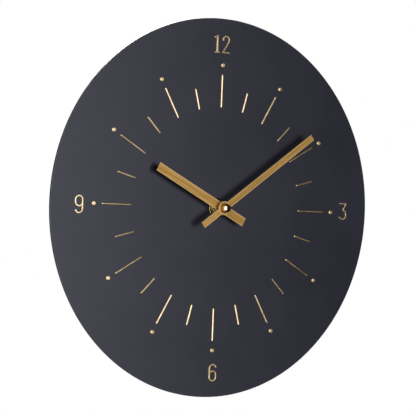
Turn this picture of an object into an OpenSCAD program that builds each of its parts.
// Round wall clock: a flat coated metal dial with raised gilt marks, two bar hands and a quartz movement.
// The clock is drawn lying on its back, with x to the right, y up and z from the wall towards the viewer,
// and stand_up() then turns it so that it hangs upright and faces -Y. The wall is the plane y = 0.

/* [Dial] */
// Diameter of the dial
dial_d = 300; // [240:5:400]
// Thickness of the dial sheet
dial_t = 2; // [1:0.25:4]
// Chamfer along the dial's two edges
dial_edge = 0.3; // [0.1:0.05:0.45]

/* [Marks] */
// From the dial's edge in to the centres of the hour dots
dot_margin = 37; // [30:1:45]
// Diameter of an hour dot
dot_d = 3.6; // [2:0.1:5]
// How far the dots stand off the dial
dot_h = 1.1; // [0.5:0.1:1.6]
// Chamfer round the top of a dot
dot_edge = 0.4; // [0.1:0.05:0.45]
// From a dot's centre in to the outer end of the hour bar
hour_bar_gap = 7.2; // [5:0.1:12]
// Length of an hour bar
hour_bar_len = 26.4; // [15:0.1:32]
// From the ring of dots in to the outer end of a half-hour bar
half_bar_gap = 16.8; // [10:0.1:22]
// Length of a half-hour bar
half_bar_len = 17; // [8:0.1:24]
// Width of a bar, which is half round
bar_w = 1.5; // [1:0.1:3]
// Height of the numerals
numeral_h = 14; // [10:0.5:17]
// From the ring of dots out to the inner edge of a numeral
numeral_gap = 9.6; // [7:0.1:14]
// How much further out the 6 stands than the other numerals
six_drop = 1; // [0:0.1:2]
// How far the ring of numerals is turned anticlockwise from the ring of dots
numeral_turn = 0.5; // [-2:0.1:2]
// How far the numerals stand off the dial
numeral_t = 0.9; // [0.4:0.1:1.5]

/* [Hands] */
// From the axis to the tip of the hour hand
hour_hand_len = 67.8; // [40:0.1:90]
// Width of the hour hand
hour_hand_w = 7; // [4:0.1:9]
// From the axis to the tip of the minute hand
minute_hand_len = 103.4; // [60:0.1:115]
// Width of the minute hand
minute_hand_w = 5.1; // [3:0.1:8]
// From the axis to the tail end of either hand
hand_tail = 24; // [10:0.5:40]
// Thickness of the sheet the hands are stamped from
hand_t = 0.8; // [0.4:0.1:1.2]
// Diameter of the round hub in each hand
hub_d = 10.8; // [10:0.1:14]
// Where the hour hand points, clockwise from 12
hour_hand_angle = 296.6; // [0:0.1:360]
// Where the minute hand points, clockwise from 12
minute_hand_angle = 54.3; // [0:0.1:360]
// Free height under the hour hand's collet, above the end of the bush
hour_hand_gap = 0.6; // [0.3:0.1:2]
// Free height between the two hands
hand_gap = 2.7; // [1:0.1:5]
// Diameter of the domed cap nut
cap_d = 6.9; // [5:0.1:9]
// Height of the cap nut's straight side, under the dome
cap_side = 2.9; // [1.5:0.1:5]

/* [Dial fixing] */
// Outside diameter of the bush's thread
bush_d = 7.8; // [7:0.1:10]
// Length of thread left standing above the nut
thread_proud = 0.8; // [0.3:0.1:3]
// Width across the flats of the dial nut
nut_af = 11; // [10:0.1:14]
// Height of the dial nut
nut_t = 2.2; // [1.5:0.1:4]
// Diameter of the brass washer under the nut
washer_d = 15.4; // [12:0.1:20]
// Thickness of the brass washer
washer_t = 0.5; // [0.3:0.1:1]
// Diameter of the rubber gasket behind the dial
gasket_d = 20; // [14:0.5:30]
// Thickness of the rubber gasket
gasket_t = 1; // [0.5:0.1:2]

/* [Hanger] */
// Thickness of the steel hanger strap
hanger_t = 1; // [0.8:0.1:1.5]
// Width of the hanger strap
hanger_w = 22; // [18:0.5:30]
// Diameter of the keyhole's round opening
key_d = 9; // [7:0.1:11]
// Width of the keyhole's slot
slot_w = 4.6; // [3:0.1:5]
// From the movement's upper edge up to the keyhole's centre
key_rise = 9; // [8:0.5:14]
// From the wall to the back of the hanging tab
tab_z = 2; // [1:0.5:4]

/* [Movement case] */
// Width of the movement
case_w = 56; // [56:0.2:68]
// Height of the movement
case_h = 56; // [56:0.2:68]
// Depth of the movement
case_depth = 16.5; // [16.5:0.1:20]
// Thickness of the moulded walls
wall = 1.2; // [0.8:0.1:1.3]
// Corner radius of the movement
case_r = 3; // [2:0.5:6]
// Diameter of the AA cell
cell_d = 14.2; // [13.6:0.1:14.5]
// Length of the AA cell over its contacts
cell_len = 50.2; // [49.2:0.1:50.5]
// Diameter of the setting knob
knob_d = 12.4; // [9:0.1:14]
// Thickness of the setting knob
knob_t = 1.9; // [1.2:0.1:2]

/* [Gear train] */
// From the centre axis to the motion wheel, and from there to the setting arbor
motion_reach = 8; // [8:0.1:8.6]
// From the centre axis to the third wheel
third_reach = 10.5; // [10.2:0.1:10.8]
// From the centre axis to the intermediate wheel
inter_reach = 8.64; // [8.4:0.02:8.8]
// From the intermediate wheel to the rotor
rotor_reach = 7.7; // [7.4:0.1:8]
// Running clearance between a shaft and its hole, on the radius
run_gap = 0.08; // [0.04:0.01:0.1]
// How much each tooth is thinned at the pitch circle, for backlash
tooth_thin = 0.05; // [0.03:0.01:0.08]

/* [Hidden] */
$fn = 72;

fit = 0.1;           // gap round a piece that is dropped into a seat
touch = 0.01;        // overlap that makes two shapes of one piece a single solid
pressure_angle = 20;
wheel_addendum = 0.6;
pinion_addendum = 1;
root_gap = 0.25;     // free depth under the mating tooth's tip, in modules
flank_steps = 2;

// Heights in the stack, from the wall out to the viewer
case_front = case_depth;
strap_front = case_front + hanger_t;
dial_back = strap_front + gasket_t;
dial_face = dial_back + dial_t;
nut_back = dial_face + washer_t;
nut_front = nut_back + nut_t;
bush_end = nut_front + thread_proud;
collet_len = 2;
hour_hand_back = bush_end + hour_hand_gap + collet_len;
hour_hand_front = hour_hand_back + hand_t;
minute_hand_back = hour_hand_front + hand_gap;
minute_hand_front = minute_hand_back + hand_t;
cap_top = minute_hand_front + cap_side + cap_d/2;

// Radii on the centre axis, from the inside out
second_arbor_r = 0.65;
minute_bore_r = second_arbor_r + run_gap;
minute_pipe_r = 1.75;
hour_bore_r = minute_pipe_r + run_gap;
hour_pipe_r = 2.55;
bush_bore_r = hour_pipe_r + run_gap;
bush_r = bush_d/2;
dial_hole_r = bush_r + 0.2;
flange_r = bush_r + 2.1;
collet_r = hour_pipe_r + 1.1;
thread_r = 1.5;
thread_gap = 0.3;    // free depth in the cap nut past the end of the thread
flat_w = 3.1;        // across the two flats that carry the minute hand

// Hanging tab
slot_rise = 5;       // from the keyhole's round opening up to the end of its slot
tab_margin = 3;      // metal left above the slot
tab_y = case_h/2 + key_rise;
tab_top = tab_y + key_d/2 + slot_rise + tab_margin;

// Marks
dot_ring_r = dial_d/2 - dot_margin;
numeral_inner_r = dot_ring_r + numeral_gap;
numeral_scale = numeral_h/14;
digit_half_w = 4.2*numeral_scale;

// Movement, inside
inner_front = case_front - wall;
inner_w = case_w - 2*wall;
inner_h = case_h - 2*wall;
cover_t = wall;
bay_wall_t = 1;
cell_r = cell_d/2;
cell_slack = 0.6;
bay_bottom = -inner_h/2;
bay_top = bay_bottom + cell_d + 2*cell_slack;
cell_y = bay_bottom + cell_slack + cell_r;
cell_z = inner_front - fit - cell_r;
contact_t = 0.4;
cell_right = inner_w/2 - contact_t;
cell_left = cell_right - cell_len;
nub_d = 5.4;
nub_len = 1.4;

// Layers of the train, counted back from the inside of the front wall
hour_wheel_z = inner_front - 1.7;
motion_pinion_z = inner_front - 1.9;
motion_wheel_z = inner_front - 3.5;
centre_wheel_z = inner_front - 5.5;
third_pinion_z = inner_front - 5.8;
middle_plate_z = inner_front - 6.5;
third_wheel_z = inner_front - 7.7;
second_pinion_z = inner_front - 8;
second_wheel_z = inner_front - 9.3;
inter_pinion_z = inner_front - 9.6;
inter_wheel_z = inner_front - 10.7;
rotor_pinion_z = inner_front - 11;
bridge_z = inner_front - 12.5;
second_shoulder_z = bridge_z + 1.6;
stator_z = inner_front - 9.1;
magnet_z = inner_front - 9.4;
plate_t = 0.6;
hour_wheel_t = 1.2;
motion_wheel_t = 1;
motion_pinion_t = 1.5;
cannon_rise = 1.7;   // from the back of the centre wheel to the back of the cannon pinion
cannon_t = 1.6;
centre_wheel_t = 1;
train_wheel_t = 0.8;
inter_wheel_t = 0.7;
third_pinion_t = 1.5;
train_pinion_t = 1.3;
setting_pinion_t = 1.6;
end_shake = 0.1;     // free play along an arbor
bridge_t = 1;
stator_t = 1.1;
magnet_r = 3.2;
magnet_t = 2.4;
rotor_core_r = 0.9;
centre_hub_r = 3.2;
train_hub_r = 2;
web_cut = 0.4;       // how much of a wheel's thickness the web loses, as a fraction
rim_w = 1.4;         // from the pitch circle in to the web

// Tooth counts
cannon_n = 12;
motion_n = 36;
motion_pinion_n = 10;
hour_n = 40;
setting_n = 12;
centre_n = 80;
third_pinion_n = 10;
third_n = 75;
second_pinion_n = 10;
second_n = 60;
inter_pinion_n = 12;
inter_n = 60;
rotor_n = 10;

// Modules, from the centre distances
motion_m = 2*motion_reach/(cannon_n + motion_n);
hour_m = 2*motion_reach/(motion_pinion_n + hour_n);
setting_reach = (motion_n + setting_n)*motion_m/2;
centre_m = 2*third_reach/(centre_n + third_pinion_n);
third_m = 2*third_reach/(third_n + second_pinion_n);
second_m = 2*inter_reach/(second_n + inter_pinion_n);
inter_m = 2*rotor_reach/(inter_n + rotor_n);

// Directions between the arbors, anticlockwise from +x, and where the arbors stand
motion_dir = 180;
third_dir = 115;
inter_dir = 40;
rotor_dir = 45;
function polar(r, a) = [r*cos(a), r*sin(a)];
motion_at = polar(motion_reach, motion_dir);
setting_at = motion_at + polar(setting_reach, motion_dir);
third_at = polar(third_reach, third_dir);
inter_at = polar(inter_reach, inter_dir);
rotor_at = inter_at + polar(rotor_reach, rotor_dir);

// The angle of the driven gear's tooth that lets it mesh with a gear whose tooth stands at phase
function meshed(phase, teeth, driven_teeth, dir) =
    dir + 180 + 180/driven_teeth - (phase - dir)*teeth/driven_teeth;
cannon_phase = 0;
centre_phase = 0;
motion_phase = meshed(cannon_phase, cannon_n, motion_n, motion_dir);
motion_pinion_phase = 0;
hour_phase = meshed(motion_pinion_phase, motion_pinion_n, hour_n, motion_dir + 180);
setting_phase = meshed(motion_phase, motion_n, setting_n, motion_dir);
third_pinion_phase = meshed(centre_phase, centre_n, third_pinion_n, third_dir);
third_phase = third_pinion_phase;
second_pinion_phase = meshed(third_phase, third_n, second_pinion_n, third_dir + 180);
second_phase = second_pinion_phase;
inter_pinion_phase = meshed(second_phase, second_n, inter_pinion_n, inter_dir);
inter_phase = inter_pinion_phase;
rotor_phase = meshed(inter_phase, inter_n, rotor_n, rotor_dir);

// Small arbors, posts and the parts of the motor
arbor_r = 0.5;
boss_r = 1.6;
third_boss_z = third_pinion_z + third_pinion_t + 0.3;
setting_boss_r = 2.2;
setting_boss_h = 1.2;
post_r = 1.3;        // posts that carry the board and the motor
board_pin_r = 0.6;
pin_proud = 0.3;     // how far a pin stands through the piece it holds
motion_post_r = 0.7;
setting_arbor_r = 1;
arbor_seat = 1;      // how deep the setting arbor is pressed into the knob
knob_floor = 1;
knob_gap = 0.6;      // round the knob in its recess
knob_cup_r = knob_d/2 + knob_gap;
knob_back = 0.3;     // the knob's face lies this far inside the wall plane
cup_depth = knob_back + knob_t + 0.3;
stator_bore_r = magnet_r + 0.4;
coil_y = rotor_at[1] + 9.6;
coil_r = 3.4;
bobbin_r = 2.3;
cheek_t = 0.8;
coil_len = 18;
coil_x = rotor_at[0] - 0.4;
core_w = 3;
foot_w = 4.5;
core_len = coil_len + 9.4;
board_t = 1;
board_z = inner_front - 4.3;
board_x = 15.2;
board_w = inner_w/2 - contact_t - board_x;
board_y = bay_top + bay_wall_t + contact_t;
board_h = 14;
board_pins = [for (x = [2, board_w - 2], y = [2.6]) [board_x + x, board_y + y]];
strip_w = 2;         // width of the strips that join the contacts to the board
crystal_r = 1;
crystal_len = 6;

// The pillars that carry the two inner plates, and the stakes that hold the motor's core
pillars = [[-14.6, 16.4], [23.6, 7.6], [12.4, -6.5]];
pillar_r = 2;
pillar_neck_r = 1.5; // the middle plate is pressed over the necks, up to the pillars' shoulders
screw_r = 0.8;
screw_head_r = 1.5;
screw_head_h = 0.7;
screw_len = 4;
core_stakes = [for (x = [-1, 1]) [coil_x + x*(coil_len/2 + 0.5 + foot_w/2), coil_y]];
stake_r = 0.7;

module stand_up() rotate([90, 0, 0]) children();

module ring_of(count, start = 0)
    for (i = [0:count - 1]) rotate([0, 0, -start - i*360/count]) children();

module tube(r_out, r_in, h) difference() {
    cylinder(r = r_out, h = h);
    translate([0, 0, -1]) cylinder(r = r_in, h = h + 2);
}

module rounded_rect(w, h, r) {
    square([w - 2*r, h], center = true);
    square([w, h - 2*r], center = true);
    for (x = [-1, 1], y = [-1, 1]) translate([x*(w/2 - r), y*(h/2 - r)]) circle(r = r);
}

// ---- Dial and its marks ----

module dial_plate() color("#37363e") stand_up() translate([0, 0, dial_back]) rotate_extrude($fn = 240)
    polygon([
        [dial_hole_r, 0], [dial_d/2 - dial_edge, 0], [dial_d/2, dial_edge],
        [dial_d/2, dial_t - dial_edge], [dial_d/2 - dial_edge, dial_t], [dial_hole_r, dial_t]
    ]);

// A half-round bar that lies along +y from r_in to r_out, with round ends
module half_round_bar(r_in, r_out) intersection() {
    union() {
        translate([0, r_in + bar_w/2, 0]) rotate([-90, 0, 0]) cylinder(r = bar_w/2, h = r_out - r_in - bar_w);
        for (y = [r_in + bar_w/2, r_out - bar_w/2]) translate([0, y, 0]) sphere(r = bar_w/2);
    }
    translate([-bar_w, r_in - 1, 0]) cube([2*bar_w, r_out - r_in + 2, bar_w]);
}

module hour_bars() color("#c9a45c") stand_up() translate([0, 0, dial_face]) ring_of(12)
    half_round_bar(dot_ring_r - hour_bar_gap - hour_bar_len, dot_ring_r - hour_bar_gap);

module half_hour_bars() color("#c9a45c") stand_up() translate([0, 0, dial_face]) ring_of(12, 15)
    half_round_bar(dot_ring_r - half_bar_gap - half_bar_len, dot_ring_r - half_bar_gap);

module hour_dots() color("#c9a45c") stand_up() translate([0, 0, dial_face]) ring_of(12)
    translate([0, dot_ring_r, 0]) {
        cylinder(d = dot_d, h = dot_h - dot_edge);
        translate([0, 0, dot_h - dot_edge]) cylinder(d1 = dot_d, d2 = dot_d - 2*dot_edge, h = dot_edge);
    }

// Strokes of even width: a bar from p to q, an arc about c, and a loop with straight sides
module bar_band(p, q, w) translate(p) rotate(atan2(q[1] - p[1], q[0] - p[0]))
    translate([0, -w/2]) square([norm(q - p), w]);
module arc_band(c, r, a0, a1, w) translate(c) difference() {
    intersection() {
        circle(r = r + w/2);
        polygon(concat([[0, 0]], [for (i = [0:6]) polar(2*r, a0 + (a1 - a0)*i/6)]));
    }
    circle(r = r - w/2);
}
module long_disc(r, y0, y1) {
    for (y = [y0, y1]) translate([0, y]) circle(r = r);
    translate([-r, y0]) square([2*r, y1 - y0]);
}

// The digits, drawn 14 high about their own centres
thin = 0.95;
thick = 1.15;
knob_end_r = 0.75;   // the round end of a stroke
cap_y = 7 - thin/2;  // middle of a level stroke along the top, and along the foot at -cap_y
module digit_1() {
    stem = 1.55;
    translate([-stem/2, -7]) square([stem, 14]);
    bar_band([0, cap_y], [-2.9, cap_y - 1.3], thin);
    bar_band([-2.4, -cap_y], [2.4, -cap_y], thin);
}
module digit_2() {
    r = 2.9;
    top = [0, 7 - thick/2 - r];
    arc_band(top, r, -25, 178, thick);
    translate(top - [r - 0.2, 0]) circle(r = 0.85);
    bar_band(top + polar(r, -25) + polar(thick/2, 65), [-2.9, -cap_y], thick);
    bar_band([-3.5, -cap_y], [3.5, -cap_y], thin);
}
module digit_3() {
    r = 3.7;
    low = [-0.5, thick/2 + r - 7];
    bar_band([-3.5, cap_y], [3.4, cap_y], thin);
    bar_band([3.2, cap_y], low + [0.3, r - 0.2], thin);
    arc_band(low, r, -140, 84, thick);
    translate(low + polar(r, -140)) circle(r = knob_end_r);
}
module digit_6() {
    r = 3.05;
    low = thick/2 + r - 7;
    high = -low;
    mid = low + 1.6;
    difference() {
        long_disc(r + thick/2, low, mid);
        long_disc(r - thick/2, low, mid);
    }
    bar_band([-r, mid], [-r, high], thick);
    arc_band([0, high], r, 28, 180, thick);
    translate([0, high] + polar(r, 28)) circle(r = knob_end_r);
}

module on_dial(x, y) stand_up() rotate([0, 0, numeral_turn]) translate([x, y, dial_face]) linear_extrude(numeral_t)
    scale(numeral_scale) children();

module numeral_12() {
    y = numeral_inner_r + numeral_h/2;
    color("#c9a45c") {
        on_dial(-5.1*numeral_scale, y) digit_1();
        on_dial(3.1*numeral_scale, y) digit_2();
    }
}
module numeral_3() color("#c9a45c") on_dial(numeral_inner_r + digit_half_w - 1, 0) digit_3();
module numeral_6() color("#c9a45c") on_dial(0, -numeral_inner_r - six_drop - numeral_h/2) digit_6();
module numeral_9() color("#c9a45c") on_dial(-numeral_inner_r - digit_half_w + 1, 0) rotate(180) digit_6();

// ---- Hands ----

module hand_blank(length, width) {
    translate([-width/2, -hand_tail]) square([width, length + hand_tail]);
    circle(d = hub_d);
}

module hour_hand() color("#b8914a") stand_up() rotate([0, 0, -hour_hand_angle])
    translate([0, 0, hour_hand_back]) linear_extrude(hand_t) difference() {
        hand_blank(hour_hand_len, hour_hand_w);
        circle(r = hour_pipe_r);
    }

module hour_hand_collet() color("#c8a866") stand_up()
    translate([0, 0, hour_hand_back - collet_len]) tube(collet_r, hour_pipe_r, collet_len);

// The minute pipe's end, with two flats, that keys the minute hand
module flatted(r) intersection() {
    circle(r = r);
    square([flat_w + 2*(r - minute_pipe_r), 3*r], center = true);
}

module minute_hand() color("#b8914a") stand_up() rotate([0, 0, -minute_hand_angle])
    translate([0, 0, minute_hand_back]) linear_extrude(hand_t) difference() {
        hand_blank(minute_hand_len, minute_hand_w);
        flatted(minute_pipe_r);
    }

module cap_nut() {
    r = cap_d/2;
    bore = thread_len + thread_gap;
    color("#d4b060") stand_up() translate([0, 0, minute_hand_front]) difference() {
        union() {
            cylinder(r = r, h = cap_side);
            translate([0, 0, cap_side]) intersection() {
                sphere(r = r);
                translate([-r, -r, 0]) cube([2*r, 2*r, r + 1]);
            }
        }
        translate([0, 0, -1]) cylinder(r = thread_r, h = bore + 1);
    }
}
thread_len = cap_side - 0.4;

// ---- What clamps the movement to the dial ----

module dial_nut() {
    corner_r = nut_af/2/cos(30);
    chamfer = 0.4;
    color("#c9b35a") stand_up() translate([0, 0, nut_back]) difference() {
        intersection() {
            cylinder(r = corner_r, h = nut_t, $fn = 6);
            cylinder(r1 = corner_r + nut_t - chamfer, r2 = corner_r - chamfer, h = nut_t, $fn = 72);
        }
        translate([0, 0, -1]) cylinder(r = bush_r, h = nut_t + 2);
    }
}

module dial_washer() color("#c9b35a") stand_up()
    translate([0, 0, dial_face]) tube(washer_d/2, dial_hole_r, washer_t);

module dial_gasket() color("#202022") stand_up()
    translate([0, 0, strap_front]) tube(gasket_d/2, dial_hole_r, gasket_t);

// The strap runs up behind the dial, steps back over the movement's top edge and ends in the hanging tab.
// Its side view is drawn with z along x, and y up.
strap_bottom = -11;
bend_r = 1;
strap_gap = 0.2;     // between the strap and the movement's upper edge
strap_step_y = case_h/2 + bend_r + strap_gap;
module quarter_ring(r_in, t) difference() {
    intersection() {
        circle(r = r_in + t);
        square([r_in + t, r_in + t]);
    }
    circle(r = r_in);
}
module strap_side() {
    step = bend_r + hanger_t;
    translate([case_front, strap_bottom]) square([hanger_t, strap_step_y - bend_r - strap_bottom]);
    translate([case_front - bend_r, strap_step_y - bend_r]) quarter_ring(bend_r, hanger_t);
    translate([tab_z + step, strap_step_y]) square([case_front - bend_r - tab_z - step, hanger_t]);
    translate([tab_z + step, strap_step_y + step]) rotate(180) quarter_ring(bend_r, hanger_t);
    translate([tab_z, strap_step_y + step]) square([hanger_t, tab_top - strap_step_y - step]);
}
module keyhole() {
    circle(d = key_d);
    translate([-slot_w/2, 0]) square([slot_w, key_d/2 + slot_rise - slot_w/2]);
    translate([0, key_d/2 + slot_rise - slot_w/2]) circle(d = slot_w);
}
module hanger_strap() color("#b9bcbf") stand_up() difference() {
    translate([hanger_w/2, 0, 0]) rotate([0, -90, 0]) linear_extrude(hanger_w) strap_side();
    translate([0, 0, case_front - 1]) cylinder(r = dial_hole_r, h = hanger_t + 2);
    translate([0, tab_y, tab_z - 1]) linear_extrude(hanger_t + 2) keyhole();
}

// ---- Movement case ----

// A stepped post that hangs from the inside of the front wall: a body down to shoulder_z and a pin down to end_z
module stepped_post(at, body_r, shoulder_z, pin_r, end_z) translate(at) {
    translate([0, 0, shoulder_z]) cylinder(r = body_r, h = inner_front - shoulder_z + touch);
    translate([0, 0, end_z]) cylinder(r = pin_r, h = shoulder_z - end_z + touch);
}

module front_case() color("#232326") stand_up() difference() {
    union() {
        difference() {
            translate([0, 0, cover_t]) linear_extrude(case_front - cover_t) rounded_rect(case_w, case_h, case_r);
            translate([0, 0, cover_t - 1]) linear_extrude(inner_front - cover_t + 1)
                rounded_rect(inner_w, inner_h, case_r - wall);
        }
        translate([-inner_w/2 - touch, bay_top, cover_t])
            cube([inner_w + 2*touch, bay_wall_t, inner_front - cover_t + touch]);
        for (p = pillars) stepped_post(p, pillar_r, middle_plate_z + plate_t, pillar_neck_r, bridge_z + bridge_t);
        for (p = board_pins) stepped_post(p, post_r, board_z + board_t, board_pin_r, board_z - pin_proud);
        for (p = core_stakes) stepped_post(p, post_r, stator_z + 2*stator_t, stake_r, stator_z - pin_proud);
        translate([third_at[0], third_at[1], third_boss_z])
            cylinder(r = boss_r, h = inner_front - third_boss_z + touch);
        translate([setting_at[0], setting_at[1], inner_front - setting_boss_h])
            cylinder(r = setting_boss_r, h = setting_boss_h + touch);
        translate([motion_at[0], motion_at[1], motion_wheel_z - 0.2])
            cylinder(r = motion_post_r, h = inner_front - motion_wheel_z + 0.2 + touch);
    }
    translate([0, 0, inner_front - 1]) cylinder(r = flange_r, h = wall + 2);
    translate([third_at[0], third_at[1], third_pinion_z]) cylinder(r = arbor_r + run_gap, h = 5.2);
    translate([setting_at[0], setting_at[1], inner_front - 3]) cylinder(r = setting_arbor_r + run_gap, h = 3);
    for (p = pillars) translate([p[0], p[1], bridge_z]) cylinder(r = screw_r, h = screw_len + 1);
    for (x = [-inner_w/2 - touch, inner_w/2 - contact_t - fit])
        translate([x, bay_top - 1, board_z - fit]) cube([contact_t + fit + touch, bay_wall_t + 2, strip_w + 2*fit]);
}

module shaft_bush() color("#c9b35a") stand_up() difference() {
    union() {
        translate([0, 0, inner_front]) cylinder(r = flange_r, h = wall);
        translate([0, 0, inner_front]) cylinder(r = bush_r, h = bush_end - inner_front);
    }
    translate([0, 0, inner_front - 1]) cylinder(r = bush_bore_r, h = bush_end);
}

// The cover is a flat lid with a lip inside the walls, a cup for the knob and the cell's window
module rear_cover() {
    lip_t = 1;
    lip_h = 1.4;
    window_left = cell_left - 0.4;
    color("#232326") stand_up() difference() {
        union() {
            linear_extrude(cover_t) rounded_rect(case_w, case_h, case_r);
            difference() {
                linear_extrude(cover_t + lip_h) difference() {
                    rounded_rect(inner_w - 2*fit, inner_h - 2*fit, case_r - wall);
                    rounded_rect(inner_w - 2*fit - 2*lip_t, inner_h - 2*fit - 2*lip_t, case_r - wall - 0.5);
                }
                translate([-case_w, -case_h, -1]) cube([2*case_w, case_h + bay_top + bay_wall_t + fit, 9]);
            }
            translate([setting_at[0], setting_at[1], 0]) cylinder(r = knob_cup_r + knob_floor, h = cup_depth + knob_floor);
        }
        translate([setting_at[0], setting_at[1], -1]) cylinder(r = knob_cup_r, h = cup_depth + 1);
        translate([setting_at[0], setting_at[1], -1]) cylinder(r = setting_arbor_r + run_gap, h = 9);
        translate([window_left, cell_y - cell_r - 0.3, -1])
            cube([cell_right + fit - window_left, cell_d + 0.6, cover_t + 2]);
    }
}

// An inner plate, shaped to clear the knob's cup, the coil and the board. Each hole is [x, y, radius].
module inner_plate(t, holes) linear_extrude(t) difference() {
    polygon([
        [-17.2, 18.8], [-17.2, 13.4], [-9, 5.8], [-5, -3.5], [10, -9.2], [15, -9.2], [15, -4], [17.5, 2.6],
        [26, 5], [26, 10.4], [15.5, 15.6], [0, 16.6], [-5, 18.8]
    ]);
    for (h = holes) translate([h[0], h[1]]) circle(r = h[2], $fn = 36);
}
function holes_at(places, r) = [for (p = places) [p[0], p[1], r]];

module middle_plate() color("#d9d6cc") stand_up() translate([0, 0, middle_plate_z]) inner_plate(plate_t, concat(
    holes_at(pillars, pillar_neck_r),
    holes_at([[0, 0]], second_arbor_r + run_gap),
    holes_at([third_at, inter_at, rotor_at], arbor_r + run_gap)
));

module gear_bridge() color("#d9d6cc") stand_up() translate([0, 0, bridge_z]) inner_plate(bridge_t, concat(
    holes_at(pillars, screw_r),
    holes_at([[0, 0], third_at, inter_at, rotor_at], arbor_r + run_gap)
));

module bridge_screws() color("#c4c6c8") stand_up() for (p = pillars) translate([p[0], p[1], bridge_z]) {
    translate([0, 0, -screw_head_h/3]) cylinder(r = screw_r, h = screw_len + screw_head_h/3);
    translate([0, 0, -screw_head_h]) difference() {
        cylinder(r = screw_head_r, h = screw_head_h);
        translate([-2, -0.2, -0.1]) cube([4, 0.4, 0.45]);
    }
}

// ---- Gears ----

function involute_deg(a) = tan(a)*180/PI - a;
function half_tooth(r, n, m) = let (rp = n*m/2, rb = rp*cos(pressure_angle))
    90/n - tooth_thin/rp*90/PI + involute_deg(pressure_angle) - (r > rb ? involute_deg(acos(rb/r)) : 0);
function flank_radii(n, m, addendum, dedendum) =
    let (rp = n*m/2, root = rp - dedendum*m, start = max(root, rp*cos(pressure_angle)), tip = rp + addendum*m)
    concat(root < start ? [root] : [], [for (k = [0:flank_steps]) start + (tip - start)*k/flank_steps]);
function gear_points(n, m, addendum, dedendum) = let (radii = flank_radii(n, m, addendum, dedendum)) [
    for (i = [0:n - 1]) each concat(
        [for (r = radii) polar(r, i*360/n - half_tooth(r, n, m))],
        [for (k = [len(radii) - 1:-1:0]) polar(radii[k], i*360/n + half_tooth(radii[k], n, m))]
    )
];
module wheel(n, m, phase, t) rotate([0, 0, phase]) linear_extrude(t)
    polygon(gear_points(n, m, wheel_addendum, pinion_addendum + root_gap));
module pinion(n, m, phase, t) rotate([0, 0, phase]) linear_extrude(t)
    polygon(gear_points(n, m, pinion_addendum, wheel_addendum + root_gap));

// A wheel with its web thinned between hub and rim
module webbed_wheel(n, m, phase, t, hub_r) difference() {
    wheel(n, m, phase, t);
    translate([0, 0, t*(1 - web_cut)]) tube(n*m/2 - rim_w, hub_r, t);
}

module hour_wheel() color("#e8e4d8") stand_up() difference() {
    union() {
        translate([0, 0, hour_wheel_z]) wheel(hour_n, hour_m, hour_phase, hour_wheel_t);
        translate([0, 0, hour_wheel_z]) cylinder(r = hour_pipe_r, h = hour_hand_front - hour_wheel_z);
    }
    translate([0, 0, hour_wheel_z - 1]) cylinder(r = hour_bore_r, h = hour_hand_front);
}

module motion_wheel() color("#e8e4d8") stand_up() translate([motion_at[0], motion_at[1], 0]) difference() {
    union() {
        translate([0, 0, motion_wheel_z]) wheel(motion_n, motion_m, motion_phase, motion_wheel_t);
        translate([0, 0, motion_wheel_z + motion_wheel_t - touch]) pinion(motion_pinion_n, hour_m,
            motion_pinion_phase, motion_pinion_z + motion_pinion_t - motion_wheel_z - motion_wheel_t);
    }
    translate([0, 0, motion_wheel_z - 1]) cylinder(r = motion_post_r + run_gap, h = 9, $fn = 36);
}

module minute_pipe() color("#c9b35a") stand_up() difference() {
    union() {
        translate([0, 0, centre_wheel_z]) cylinder(r = minute_pipe_r, h = minute_hand_back - centre_wheel_z);
        translate([0, 0, centre_wheel_z + cannon_rise]) pinion(cannon_n, motion_m, cannon_phase, cannon_t);
        rotate([0, 0, -minute_hand_angle]) translate([0, 0, minute_hand_back - touch])
            linear_extrude(hand_t + touch) flatted(minute_pipe_r);
        translate([0, 0, minute_hand_front - touch]) cylinder(r = thread_r, h = thread_len);
    }
    translate([0, 0, centre_wheel_z - 1]) cylinder(r = minute_bore_r, h = cap_top);
}

module centre_wheel() color("#e8e4d8") stand_up() translate([0, 0, centre_wheel_z]) difference() {
    webbed_wheel(centre_n, centre_m, centre_phase, centre_wheel_t, centre_hub_r);
    translate([0, 0, -1]) cylinder(r = minute_pipe_r, h = 3);
}

module third_wheel() color("#e8e4d8") stand_up() translate([third_at[0], third_at[1], 0]) {
    translate([0, 0, third_wheel_z]) webbed_wheel(third_n, third_m, third_phase, train_wheel_t, train_hub_r);
    translate([0, 0, third_pinion_z]) pinion(third_pinion_n, centre_m, third_pinion_phase, third_pinion_t);
    translate([0, 0, bridge_z + end_shake]) cylinder(r = arbor_r, h = inner_front - 0.9 - bridge_z, $fn = 36);
}

module second_wheel() color("#e8e4d8") stand_up() {
    translate([0, 0, second_wheel_z]) webbed_wheel(second_n, second_m, second_phase, train_wheel_t, train_hub_r);
    translate([0, 0, second_pinion_z]) pinion(second_pinion_n, third_m, second_pinion_phase, train_pinion_t);
    translate([0, 0, bridge_z + end_shake]) cylinder(r = arbor_r, h = 3, $fn = 36);
    translate([0, 0, second_shoulder_z])
        cylinder(r = second_arbor_r, h = minute_hand_front - second_shoulder_z, $fn = 36);
}

module short_arbor() translate([0, 0, bridge_z + end_shake])
    cylinder(r = arbor_r, h = middle_plate_z + plate_t - bridge_z - end_shake, $fn = 36);

module intermediate_wheel() color("#e8e4d8") stand_up() translate([inter_at[0], inter_at[1], 0]) {
    translate([0, 0, inter_wheel_z]) webbed_wheel(inter_n, inter_m, inter_phase, inter_wheel_t, train_hub_r);
    translate([0, 0, inter_pinion_z]) pinion(inter_pinion_n, second_m, inter_pinion_phase, train_pinion_t);
    short_arbor();
}

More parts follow.
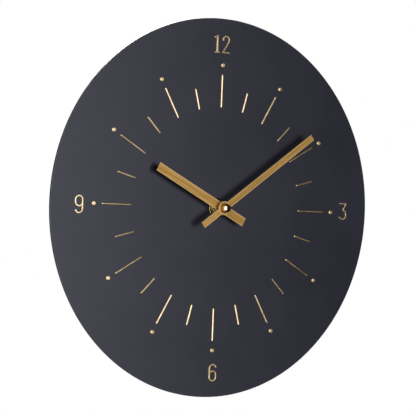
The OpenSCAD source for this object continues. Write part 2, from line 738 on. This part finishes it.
module rotor_pinion() color("#e8e4d8") stand_up() translate([rotor_at[0], rotor_at[1], 0]) {
    translate([0, 0, rotor_pinion_z]) pinion(rotor_n, inter_m, rotor_phase, train_pinion_t);
    short_arbor();
    translate([0, 0, rotor_pinion_z + train_pinion_t - touch])
        cylinder(r = rotor_core_r, h = magnet_z + magnet_t - rotor_pinion_z - train_pinion_t + touch);
}

module rotor_magnet() color("#4a4a50") stand_up()
    translate([rotor_at[0], rotor_at[1], magnet_z]) tube(magnet_r, rotor_core_r, magnet_t);

// The setting arbor carries a pinion that is always in mesh with the motion wheel
module setting_arbor() color("#e8e4d8") stand_up() translate([setting_at[0], setting_at[1], 0]) {
    translate([0, 0, motion_wheel_z - 0.3]) pinion(setting_n, motion_m, setting_phase, setting_pinion_t);
    translate([0, 0, cup_depth - arbor_seat])
        cylinder(r = setting_arbor_r, h = inner_front - 0.2 - cup_depth + arbor_seat);
}

module setting_knob() {
    grips = 24;
    color("#2c2c30") stand_up() translate([setting_at[0], setting_at[1], knob_back]) difference() {
        union() {
            cylinder(r = knob_d/2, h = knob_t);
            cylinder(r = 1.9, h = cup_depth - knob_back - 0.1);
        }
        for (i = [0:grips - 1]) rotate([0, 0, i*360/grips]) translate([knob_d/2 + 0.1, 0, -1])
            cylinder(r = 0.5, h = knob_t + 2, $fn = 24);
        translate([0, 0, cup_depth - arbor_seat - knob_back]) cylinder(r = setting_arbor_r, h = 5);
    }
}

// ---- Stepping motor and electronics ----

module stator() {
    x0 = coil_x - coil_len/2 - 0.5;
    x1 = coil_x + coil_len/2 + 0.5;
    shoulder = coil_y - coil_r - 0.5;
    color("#a8aaad") stand_up() translate([0, 0, stator_z]) linear_extrude(stator_t) difference() {
        polygon([
            [x0 - foot_w, coil_y + 2], [x0, coil_y + 2], [x0, shoulder], [x1, shoulder], [x1, coil_y + 2],
            [x1 + foot_w, coil_y + 2], [x1 + foot_w, rotor_at[1] + 3], [rotor_at[0] + 7, rotor_at[1] - 4.6],
            [rotor_at[0], rotor_at[1] - 4.6], [rotor_at[0] - 3.9, rotor_at[1] - 2.8],
            [x0 + 1, rotor_at[1] + 1.5], [x0 - foot_w, rotor_at[1] + 5]
        ]);
        translate(rotor_at) circle(r = stator_bore_r);
        for (a = [62, 242]) translate(rotor_at + polar(stator_bore_r, a)) circle(r = 0.45, $fn = 24);
        for (p = core_stakes) translate(p) circle(r = stake_r, $fn = 24);
    }
}

module coil_core() color("#a8aaad") stand_up() difference() {
    translate([coil_x - core_len/2, coil_y - core_w/2, stator_z + stator_t]) cube([core_len, core_w, stator_t]);
    for (p = core_stakes) translate([p[0], p[1], stator_z]) cylinder(r = stake_r, h = 4, $fn = 24);
}

coil_z = stator_z + 1.5*stator_t;
module along_coil() translate([coil_x - coil_len/2, coil_y, coil_z]) rotate([0, 90, 0]) children();
module coil_bobbin() color("#b8402c") stand_up() difference() {
    along_coil() {
        cylinder(r = bobbin_r, h = coil_len);
        cylinder(r = coil_r, h = cheek_t);
        translate([0, 0, coil_len - cheek_t]) cylinder(r = coil_r, h = cheek_t);
    }
    translate([coil_x - core_len, coil_y - core_w/2, stator_z + stator_t]) cube([2*core_len, core_w, stator_t]);
}
module coil_winding() color("#b5652e") stand_up() along_coil()
    translate([0, 0, cheek_t]) tube(coil_r - 0.2, bobbin_r, coil_len - 2*cheek_t);

module circuit_board() color("#2f6b45") stand_up() difference() {
    translate([board_x, board_y, board_z]) cube([board_w, board_h, board_t]);
    for (p = board_pins) translate([p[0], p[1], board_z - 1]) cylinder(r = board_pin_r, h = board_t + 2);
}
module quartz_crystal() color("#c4c6c8") stand_up()
    translate([board_x + board_w - 2, board_y + 5.5, board_z - crystal_r]) rotate([-90, 0, 0])
        cylinder(r = crystal_r, h = crystal_len);
module controller_chip() color("#17171a") stand_up()
    translate([board_x + 4, board_y + 8.5, board_z]) difference() {
        translate([0, 0, 2.2]) sphere(r = 3.5);
        translate([-5, -5, 0]) cube([10, 10, 8]);
    }

module battery_cell() color("#8c8f94") stand_up() translate([cell_left, cell_y, cell_z]) rotate([0, 90, 0]) {
    cylinder(r = cell_r, h = cell_len - nub_len);
    translate([0, 0, cell_len - nub_len - touch]) cylinder(r = nub_d/2, h = nub_len + touch);
}

contact_w = 9;
contact_h = 10;
strip_top = bay_top + bay_wall_t + contact_t;
module contact_positive() color("#d0d2d4") stand_up() {
    translate([inner_w/2 - contact_t, cell_y - contact_w/2, cell_z - contact_h/2])
        cube([contact_t, contact_w, contact_h]);
    translate([inner_w/2 - contact_t, cell_y, board_z]) cube([contact_t, strip_top + 1.5 - cell_y, strip_w]);
}

// A plate on the wall with a leaf bowed out of it to press on the cell, and a strip along the bay's wall
module contact_negative() {
    reach = cell_left + inner_w/2;
    color("#d0d2d4") stand_up() {
        translate([-inner_w/2, cell_y + contact_w/2, cell_z]) rotate([90, 0, 0]) linear_extrude(contact_w) {
            translate([0, -contact_h/2]) square([contact_t, contact_h]);
            polygon([
                [0.1, 4], [reach - 0.4, 1.2], [reach, 0.8], [reach, -0.8], [reach - 0.4, -1.2],
                [reach - 0.8, -0.8], [reach - 0.8, 0.8], [0.1, 3.5]
            ]);
        }
        translate([-inner_w/2, cell_y, board_z]) cube([contact_t, strip_top - cell_y, strip_w]);
        translate([-inner_w/2, strip_top - contact_t, board_z]) cube([board_x + 3 + inner_w/2, contact_t, strip_w]);
    }
}

dial_plate();
hour_bars();
half_hour_bars();
hour_dots();
numeral_12();
numeral_3();
numeral_6();
numeral_9();
hour_hand();
hour_hand_collet();
minute_hand();
cap_nut();
dial_nut();
dial_washer();
dial_gasket();
hanger_strap();
front_case();
shaft_bush();
rear_cover();
middle_plate();
gear_bridge();
bridge_screws();
hour_wheel();
motion_wheel();
minute_pipe();
centre_wheel();
third_wheel();
second_wheel();
intermediate_wheel();
rotor_pinion();
rotor_magnet();
setting_arbor();
setting_knob();
stator();
coil_core();
coil_bobbin();
coil_winding();
circuit_board();
quartz_crystal();
controller_chip();
battery_cell();
contact_positive();
contact_negative();
